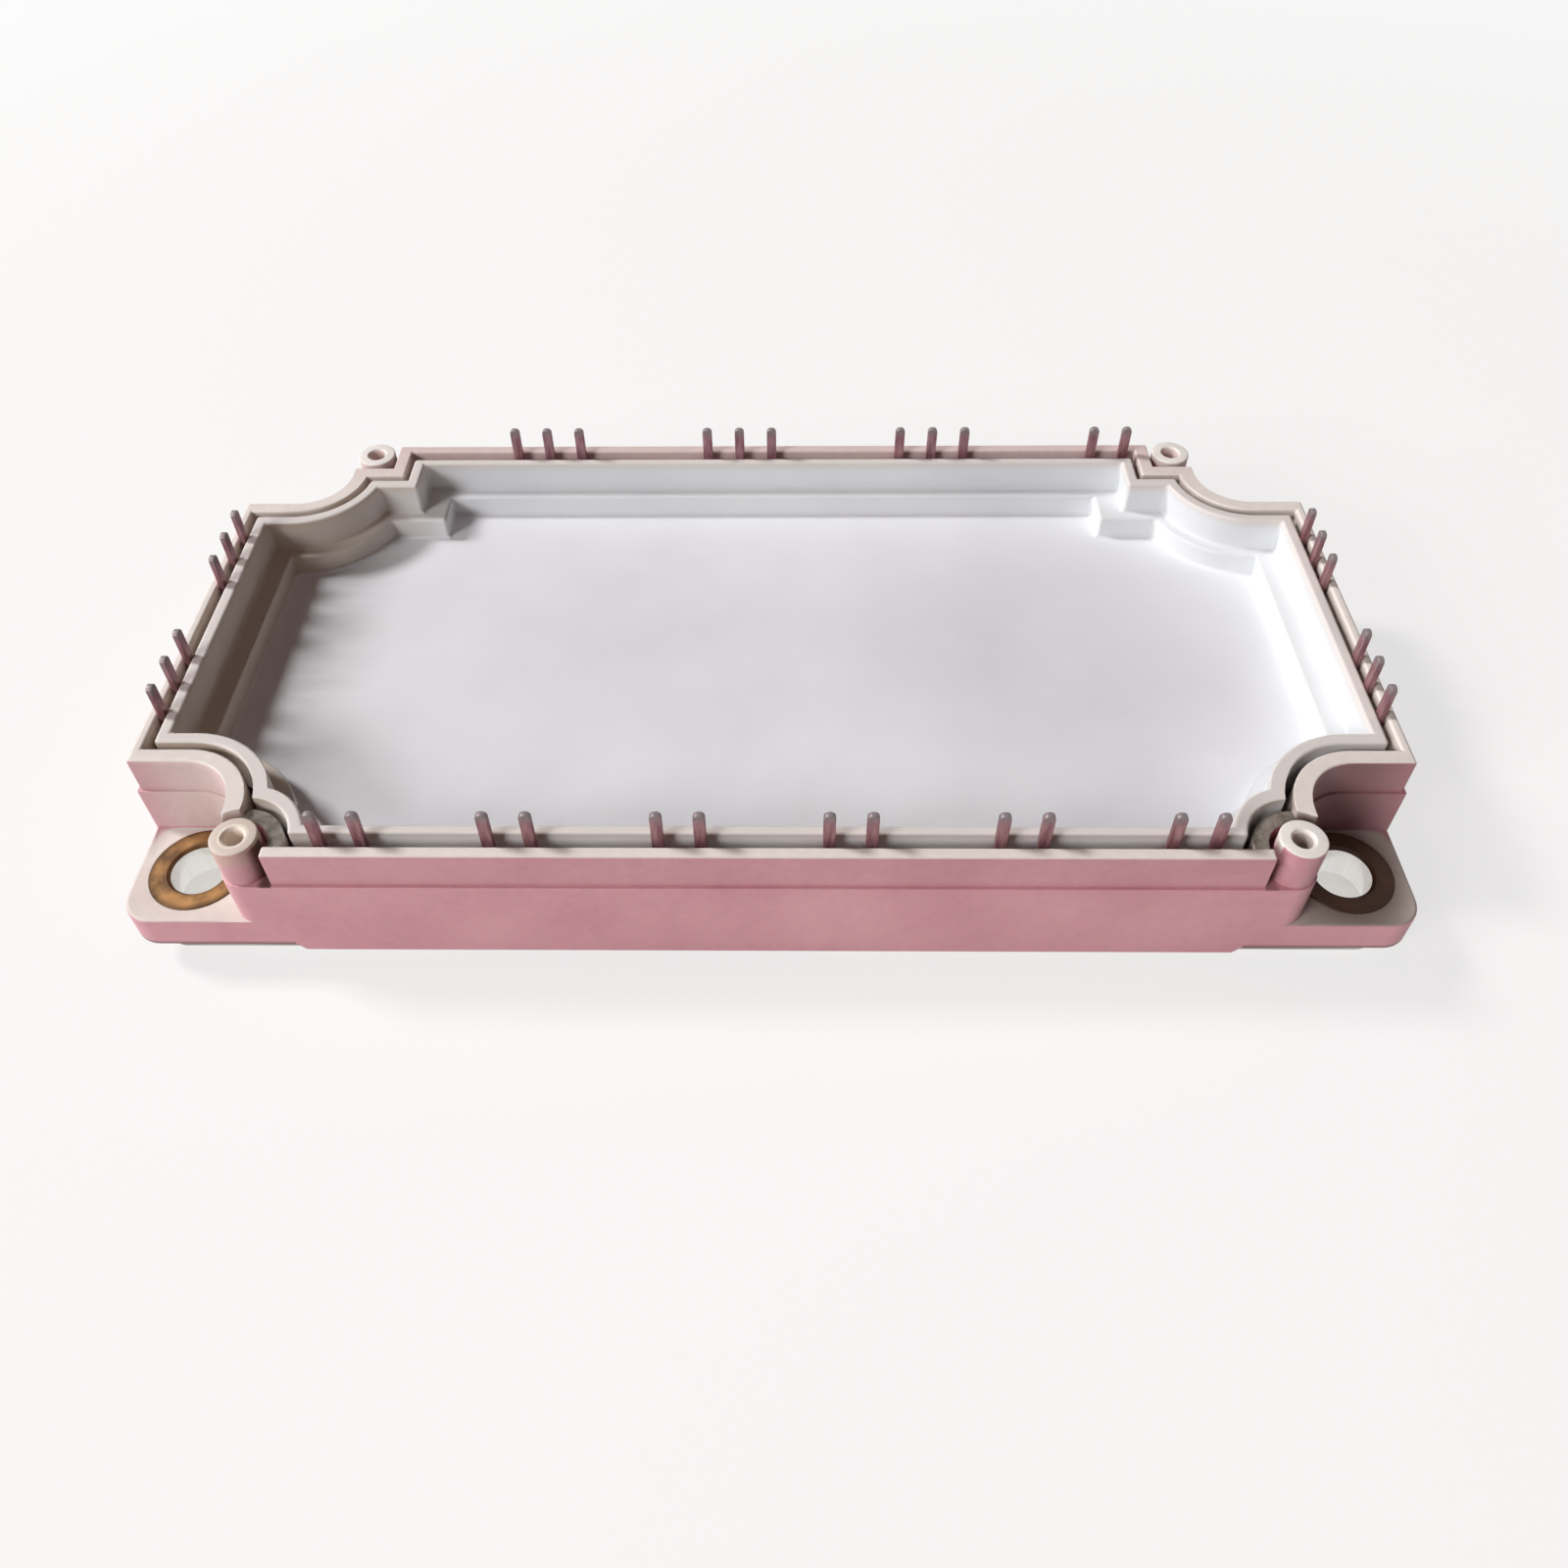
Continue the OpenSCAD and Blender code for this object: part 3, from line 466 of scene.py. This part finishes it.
# Painted shade on the bushes at the right
right_shade = add(tree, "MapRange", {"Value": spot.outputs["X"], "From Min": 49 * MM, "From Max": 52 * MM,
                               "To Max": 0.9})
tone = brown.outputs["Color"]
for mask, colour in ((edges, "#41270f"), (right_shade, "#2c120b")):
    layer = add(tree, "Mix", {0: mask.outputs[0], COLOUR_A: tone, COLOUR_B: srgb(colour)}, data_type="RGBA")
    tone = layer.outputs[MIXED]
dull = add(tree, "MapRange", {"Value": tarnish.outputs["Fac"], "To Min": 0.45, "To Max": 0.65})
relief = add(tree, "Bump", {"Height": rings.outputs["Fac"], "Strength": 0.35, "Distance": 0.04 * MM})
metal = add(tree, "BsdfPrincipled", {"Base Color": tone, "Metallic": 0.15, "Specular IOR Level": 0.3,
                                     "Roughness": dull.outputs[0], "Normal": relief.outputs[0]})
add(tree, "OutputMaterial", {"Surface": metal.outputs[0]})

reamed_bore, tree = new_material("reamed_bright_bore")
place = add(tree, "TexCoord", {})
along = add(tree, "Mapping", {"Vector": place.outputs["Object"], "Scale": (1.0, 1.0, 0.05)})
scores = add(tree, "TexNoise", {"Vector": along.outputs[0], "Scale": 1 / (0.3 * MM), "Detail": 2.0})
tone = add(tree, "ValToRGB", {"Fac": scores.outputs["Fac"]}, stops=((0.0, "#e9e6e0"), (1.0, "#fbfaf8")))
metal = add(tree, "BsdfPrincipled", {"Base Color": tone.outputs["Color"], "Metallic": 1.0,
                                     "Roughness": 0.16})
add(tree, "OutputMaterial", {"Surface": metal.outputs[0]})

for number in (1, 2, 3, 4):
    low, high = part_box(f"mounting_bush_{number}")
    centre = (low + high) / 2
    ring = bmesh.new()
    profile = [(bore, low.z + chamfer), (bore + chamfer, low.z), (outer, low.z), (outer, high.z - edge_break),
               (outer - edge_break, high.z), (bore + chamfer, high.z), (bore, high.z - chamfer)]
    corners = [ring.verts.new((r, 0.0, z)) for r, z in profile]
    sides = [ring.edges.new((a, b)) for a, b in zip(corners, corners[1:] + corners[:1])]
    bmesh.ops.spin(ring, geom=corners + sides, axis=(0, 0, 1), cent=(0, 0, 0), angle=radians(360),
                   steps=facets, use_merge=True)
    bmesh.ops.remove_doubles(ring, verts=ring.verts, dist=0.001 * MM)
    bmesh.ops.recalc_face_normals(ring, faces=ring.faces)
    for face in ring.faces:
        in_bore = face.calc_center_median().xy.length < bore + 0.01 * MM
        face.material_index = 1 if in_bore else 0
        face.smooth = True
    bmesh.ops.translate(ring, verts=ring.verts, vec=(centre.x, centre.y, 0.0))
    mesh = bpy.data.meshes.new(f"turned_bush_{number}")
    ring.to_mesh(mesh)
    ring.free()
    mesh.set_sharp_from_angle(angle=radians(30))
    mesh.materials.append(turned_brass)
    mesh.materials.append(reamed_bore)
    bush = bpy.data.objects.new(mesh.name, mesh)
    bpy.context.scene.collection.objects.link(bush)
    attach(bush, "root")
    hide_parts(f"mounting_bush_{number}")


# Pins: punched from copper strip, tin plated, bent to a foot and moulded into the frame.
# The plating is dull and streaked, with a rose tint that is a painted reflection of pink surroundings, and a
# grey tip that was dipped in solder.
pin_edge = 0.1
pin_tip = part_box("pin_front_01")[1].z
tinned_copper, tree = new_material("tin_plated_copper")
place = add(tree, "TexCoord", {})
spot = add(tree, "SeparateXYZ", {"Vector": place.outputs["Object"]})
drawn = add(tree, "Mapping", {"Vector": place.outputs["Object"], "Scale": (6.0, 6.0, 1.0)})
streaks = add(tree, "TexNoise", {"Vector": drawn.outputs[0], "Scale": 1 / (3 * MM), "Detail": 4.0})
# A rose tint, painted reflection of pink surroundings
rose_reflection = add(tree, "ValToRGB", {"Fac": streaks.outputs["Fac"]}, stops=((0.3, "#7b4d55"), (0.7, "#b1888d")))
dipped = add(tree, "MapRange", {"Value": spot.outputs["Z"], "From Min": pin_tip - 1.3 * MM,
                                "From Max": pin_tip - 0.2 * MM})
tone = add(tree, "Mix", {0: dipped.outputs[0], COLOUR_A: rose_reflection.outputs["Color"],
                         COLOUR_B: srgb("#867a7c")}, data_type="RGBA")
dull = add(tree, "MapRange", {"Value": streaks.outputs["Fac"], "To Min": 0.34, "To Max": 0.55})
relief = add(tree, "Bump", {"Height": streaks.outputs["Fac"], "Strength": 0.3, "Distance": 0.04 * MM})
metal = add(tree, "BsdfPrincipled", {"Base Color": tone.outputs[MIXED], "Metallic": 0.5,
                                     "Roughness": dull.outputs[0], "Normal": relief.outputs[0]})
add(tree, "OutputMaterial", {"Surface": metal.outputs[0]})


def pin_radius(p, upright, convex):
    return pin_edge


pins = [f"pin_front_{n:02d}" for n in range(1, 13)] + [f"pin_back_{n:02d}" for n in range(1, 12)]
pins += [f"pin_{end}_{n}" for end in ("left", "right") for n in range(1, 7)]
for name in pins:
    pin = mould(name, "punched_" + name, [], pin_radius)
    pin.data.materials.append(tinned_copper)


# Gel: clear silicone poured over the wires and cured soft.
# It is hidden under the lid; small trapped bubbles cloud it.
silicone_gel, tree = new_material("clear_silicone_gel")
place = add(tree, "TexCoord", {})
haze = add(tree, "TexNoise", {"Vector": place.outputs["Object"], "Scale": 1 / (3 * MM), "Detail": 2.0})
tone = add(tree, "ValToRGB", {"Fac": haze.outputs["Fac"]}, stops=((0.0, "#dfe7e9"), (1.0, "#f1f5f6")))
gel = add(tree, "BsdfPrincipled", {"Base Color": tone.outputs["Color"], "Roughness": 0.15, "IOR": 1.41,
                                   "Transmission Weight": 0.8})
add(tree, "OutputMaterial", {"Surface": gel.outputs[0]})
dress("gel_fill", silicone_gel)


# Lid: a white tray moulded in one piece and pressed into the frame over the gel.
# Its walls step in at a ledge, and the floor meets them in a small radius. At the front the arc round the
# screw meets the arc round the standoff at a cusp, where the radius runs out. Sizes are in millimetres.
tray_floor, tray_ledge = 10.4, 12.8
lid_cusp_x, lid_cusp_y = 46.7, -22.2
lid_edge, lid_rim_edge = 0.4, 0.35


def lid_radius(p, upright, convex):
    widest = lid_rim_edge if p.z > rim - 0.25 else lid_edge
    from_cusp = hypot(abs(p.x) - lid_cusp_x, p.y - lid_cusp_y)
    return max(0.08, min(widest, 0.08 * (from_cusp - 1.0)))


lid_piece = mould("lid", "tray_lid", middle, lid_radius)

# White polyester: without the glass mottle, with the soft waves of a polished mould and a faint cool cast.
# The walls and the ledge are painted greyer than the floor, as shade, and browner still at the left end. The
# floor has greyed right of the middle, is painted lighter towards the front, against the front wall's shadow,
# and carries a painted streaked shadow along its left end.
white_polyester, tree = new_material("white_polyester")
place = add(tree, "TexCoord", {})
spot = add(tree, "SeparateXYZ", {"Vector": place.outputs["Object"]})
facing = add(tree, "SeparateXYZ", {"Vector": place.outputs["Normal"]})
clouds = add(tree, "TexNoise", {"Vector": place.outputs["Object"], "Scale": 1 / (18 * MM), "Detail": 3.0})
mottle = add(tree, "TexNoise", {"Vector": place.outputs["Object"], "Scale": 1 / (1.6 * MM), "Detail": 4.0})
tone = add(tree, "ValToRGB", {"Fac": clouds.outputs["Fac"]}, stops=((0.3, "#e8e9ee"), (0.7, "#f2f3f7")))
greyed_at = (31 * MM, -3 * MM, tray_floor * MM)
from_patch = add(tree, "VectorMath", {0: place.outputs["Object"], 1: greyed_at}, operation="DISTANCE")
patch = add(tree, "MapRange", {"Value": from_patch.outputs["Value"], "From Min": 6 * MM, "From Max": 27 * MM,
                               "To Min": 0.9, "To Max": 1.0}, interpolation_type="SMOOTHSTEP")
# Painted light towards the front, lifting the floor where the front wall shades it
painted_front_light = add(tree, "MapRange", {"Value": spot.outputs["Y"], "From Min": -26 * MM, "From Max": 4 * MM,
                               "To Min": 1.05, "To Max": 1.0})
for share in (patch, painted_front_light):
    tone = add(tree, "VectorMath", {0: tone.outputs[0], 1: share.outputs[0]}, operation="MULTIPLY")

# A painted shadow, streaked, along the left end of the floor, fading out near the wall and towards the middle
stretched = add(tree, "Mapping", {"Vector": place.outputs["Object"], "Scale": (1.0, 4.0, 1.0)})
streaks = add(tree, "TexNoise", {"Vector": stretched.outputs[0], "Scale": 1 / (14 * MM), "Detail": 2.0})
uneven = add(tree, "MapRange", {"Value": streaks.outputs["Fac"], "From Min": 0.35, "From Max": 0.65,
                                "To Min": 0.6, "To Max": 1.3})
clear_of_wall = add(tree, "MapRange", {"Value": spot.outputs["X"], "From Min": -53 * MM, "From Max": -50.5 * MM})
on_floor = add(tree, "Math", {0: spot.outputs["Z"], 1: (tray_floor + 0.3) * MM}, operation="LESS_THAN")
left_shadow = add(tree, "MapRange", {"Value": spot.outputs["X"], "From Min": -50 * MM, "From Max": -40.5 * MM,
                              "To Min": 0.27, "To Max": 0.0}, interpolation_type="SMOOTHSTEP")
for share in (uneven, clear_of_wall, on_floor):
    left_shadow = add(tree, "Math", {0: left_shadow.outputs[0], 1: share.outputs[0]}, operation="MULTIPLY")
handled = add(tree, "MapRange", {"Value": spot.outputs["Z"], "From Min": (rim - 1.25) * MM,
                                 "From Max": (rim - 0.05) * MM, "To Max": 0.8})
tone = tone.outputs[0]
for mask, colour in ((left_shadow, "#3a3836"), (handled, "#e8dfd9")):
    layer = add(tree, "Mix", {0: mask.outputs[0], COLOUR_A: tone, COLOUR_B: srgb(colour)}, data_type="RGBA")
    tone = layer.outputs[MIXED]

# Upright faces and the ledge are painted greyer as shade, browner at the left end
wall = add(tree, "MapRange", {"Value": facing.outputs["Z"], "From Min": 0.3, "From Max": 0.8,
                              "To Min": 1.0, "To Max": 0.0})
step = add(tree, "Math", {0: spot.outputs["Z"], 1: tray_ledge * MM, 2: 0.5 * MM}, operation="COMPARE")
wall = add(tree, "Math", {0: wall.outputs[0], 1: step.outputs[0]}, operation="MAXIMUM")
left_end_shade = add(tree, "MapRange", {"Value": spot.outputs["X"], "From Min": -49 * MM, "From Max": -37 * MM,
                                "To Min": 1.0, "To Max": 0.0})
wall_shade = add(tree, "Mix", {0: left_end_shade.outputs[0], COLOUR_A: srgb("#f9faf8"), COLOUR_B: srgb("#e2d6c7")},
           data_type="RGBA")
wall_shaded = add(tree, "VectorMath", {0: tone, 1: wall_shade.outputs[MIXED]}, operation="MULTIPLY")
tone = add(tree, "Mix", {0: wall.outputs[0], COLOUR_A: tone, COLOUR_B: wall_shaded.outputs[0]}, data_type="RGBA")
satin = add(tree, "MapRange", {"Value": mottle.outputs["Fac"], "To Min": 0.4, "To Max": 0.56})
waves = add(tree, "Bump", {"Height": clouds.outputs["Fac"], "Strength": 0.2, "Distance": 0.2 * MM})
skin = add(tree, "BsdfPrincipled", {"Base Color": tone.outputs[MIXED], "Roughness": satin.outputs[0],
                                    "IOR": 1.52, "Specular IOR Level": 0.15, "Normal": waves.outputs[0]})
add(tree, "OutputMaterial", {"Surface": skin.outputs[0]})
lid_piece.data.materials.append(white_polyester)


# Floor: a plain pale sheet under the module, white to the camera and in reflections, with the shadow kept.
# Much of its white is its own, all of it half a metre out, so that it runs into the surround without an edge.
half_side = 2.0


def seen_directly(tree):
    path = add(tree, "LightPath", {})
    seen = path.outputs["Is Camera Ray"]
    for ray in ("Is Glossy Ray", "Is Transmission Ray"):
        seen = add(tree, "Math", {0: seen, 1: path.outputs[ray]}, operation="MAXIMUM").outputs[0]
    return seen


sheet = bmesh.new()
bmesh.ops.create_grid(sheet, x_segments=1, y_segments=1, size=half_side)
mesh = bpy.data.meshes.new("floor")
sheet.to_mesh(mesh)
sheet.free()
floor = bpy.data.objects.new("floor", mesh)
bpy.context.scene.collection.objects.link(floor)
paper, tree = new_material("white_paper")
seen = seen_directly(tree)
lit = add(tree, "BsdfDiffuse", {"Color": srgb("#f8f6f4")})
own = add(tree, "Emission", {"Color": srgb("#ffffff"), "Strength": seen})
place = add(tree, "TexCoord", {})
reach = add(tree, "VectorMath", {0: place.outputs["Object"]}, operation="LENGTH")
share = add(tree, "MapRange", {"Value": reach.outputs["Value"], "From Min": 120 * MM, "From Max": 500 * MM,
                               "To Min": 0.72, "To Max": 1.0}, interpolation_type="SMOOTHSTEP")
shown = add(tree, "MixShader", {0: share.outputs[0], 1: lit.outputs[0], 2: own.outputs[0]})
plain = add(tree, "MixShader", {0: seen, 1: lit.outputs[0], 2: shown.outputs[0]})
add(tree, "OutputMaterial", {"Surface": plain.outputs[0]})
mesh.materials.append(paper)


# Light: a window on the left, set a little behind the module, a soft screen in front on the same side,
# a weak ceiling and a dim surround. All are far enough away to light both ends alike.
# Each lamp has its power in watts, its width and its place in metres, and faces the module.
for name, power, width, stand in (("left_window", 22.0, 0.38, (-1.231, 0.400, 1.250)),
                                  ("front_screen", 17.4, 0.7, (-1.181, -1.063, 0.845)),
                                  ("ceiling", 1.0, 1.6, (0.0, 0.0, 2.0))):
    light = bpy.data.lights.new(name, "AREA")
    light.shape = "DISK"
    light.size = width
    light.energy = power
    lamp = bpy.data.objects.new(name, light)
    lamp.location = stand
    lamp.rotation_euler = Vector(stand).to_track_quat("Z", "Y").to_euler()
    bpy.context.scene.collection.objects.link(lamp)

world = bpy.data.worlds.new("pale_surround")
bpy.context.scene.world = world
world.use_nodes = True
tree = world.node_tree
tree.nodes.clear()
seen = seen_directly(tree)
strength = add(tree, "MapRange", {"Value": seen, "To Min": 0.045, "To Max": 1.0})
shade = add(tree, "Mix", {0: seen, COLOUR_A: srgb("#ff9e62"), COLOUR_B: srgb("#ffffff")}, data_type="RGBA")
sky = add(tree, "Background", {"Color": shade.outputs[MIXED], "Strength": strength.outputs[0]})
add(tree, "OutputWorld", {"Surface": sky.outputs[0]})


# Camera: held above the front long side and looking down at about 45 degrees, as the photograph was taken.
# Its place, turn and lens are those of a camera fitted to the pins, the screw holes and the standoffs.
lens = bpy.data.cameras.new("camera")
lens.sensor_fit = "HORIZONTAL"
lens.sensor_width = 36.0
lens.lens = 29.8756
lens.shift_x = 0.00919
lens.shift_y = -0.08248
lens.clip_start = 10 * MM
camera = bpy.data.objects.new("camera", lens)
camera.location = (0.002359, -0.099143, 0.109960)
camera.rotation_euler = (radians(45.179), radians(0.678), radians(0.676))
bpy.context.scene.collection.objects.link(camera)
bpy.context.scene.camera = camera
bpy.context.scene.view_settings.view_transform = "Standard"
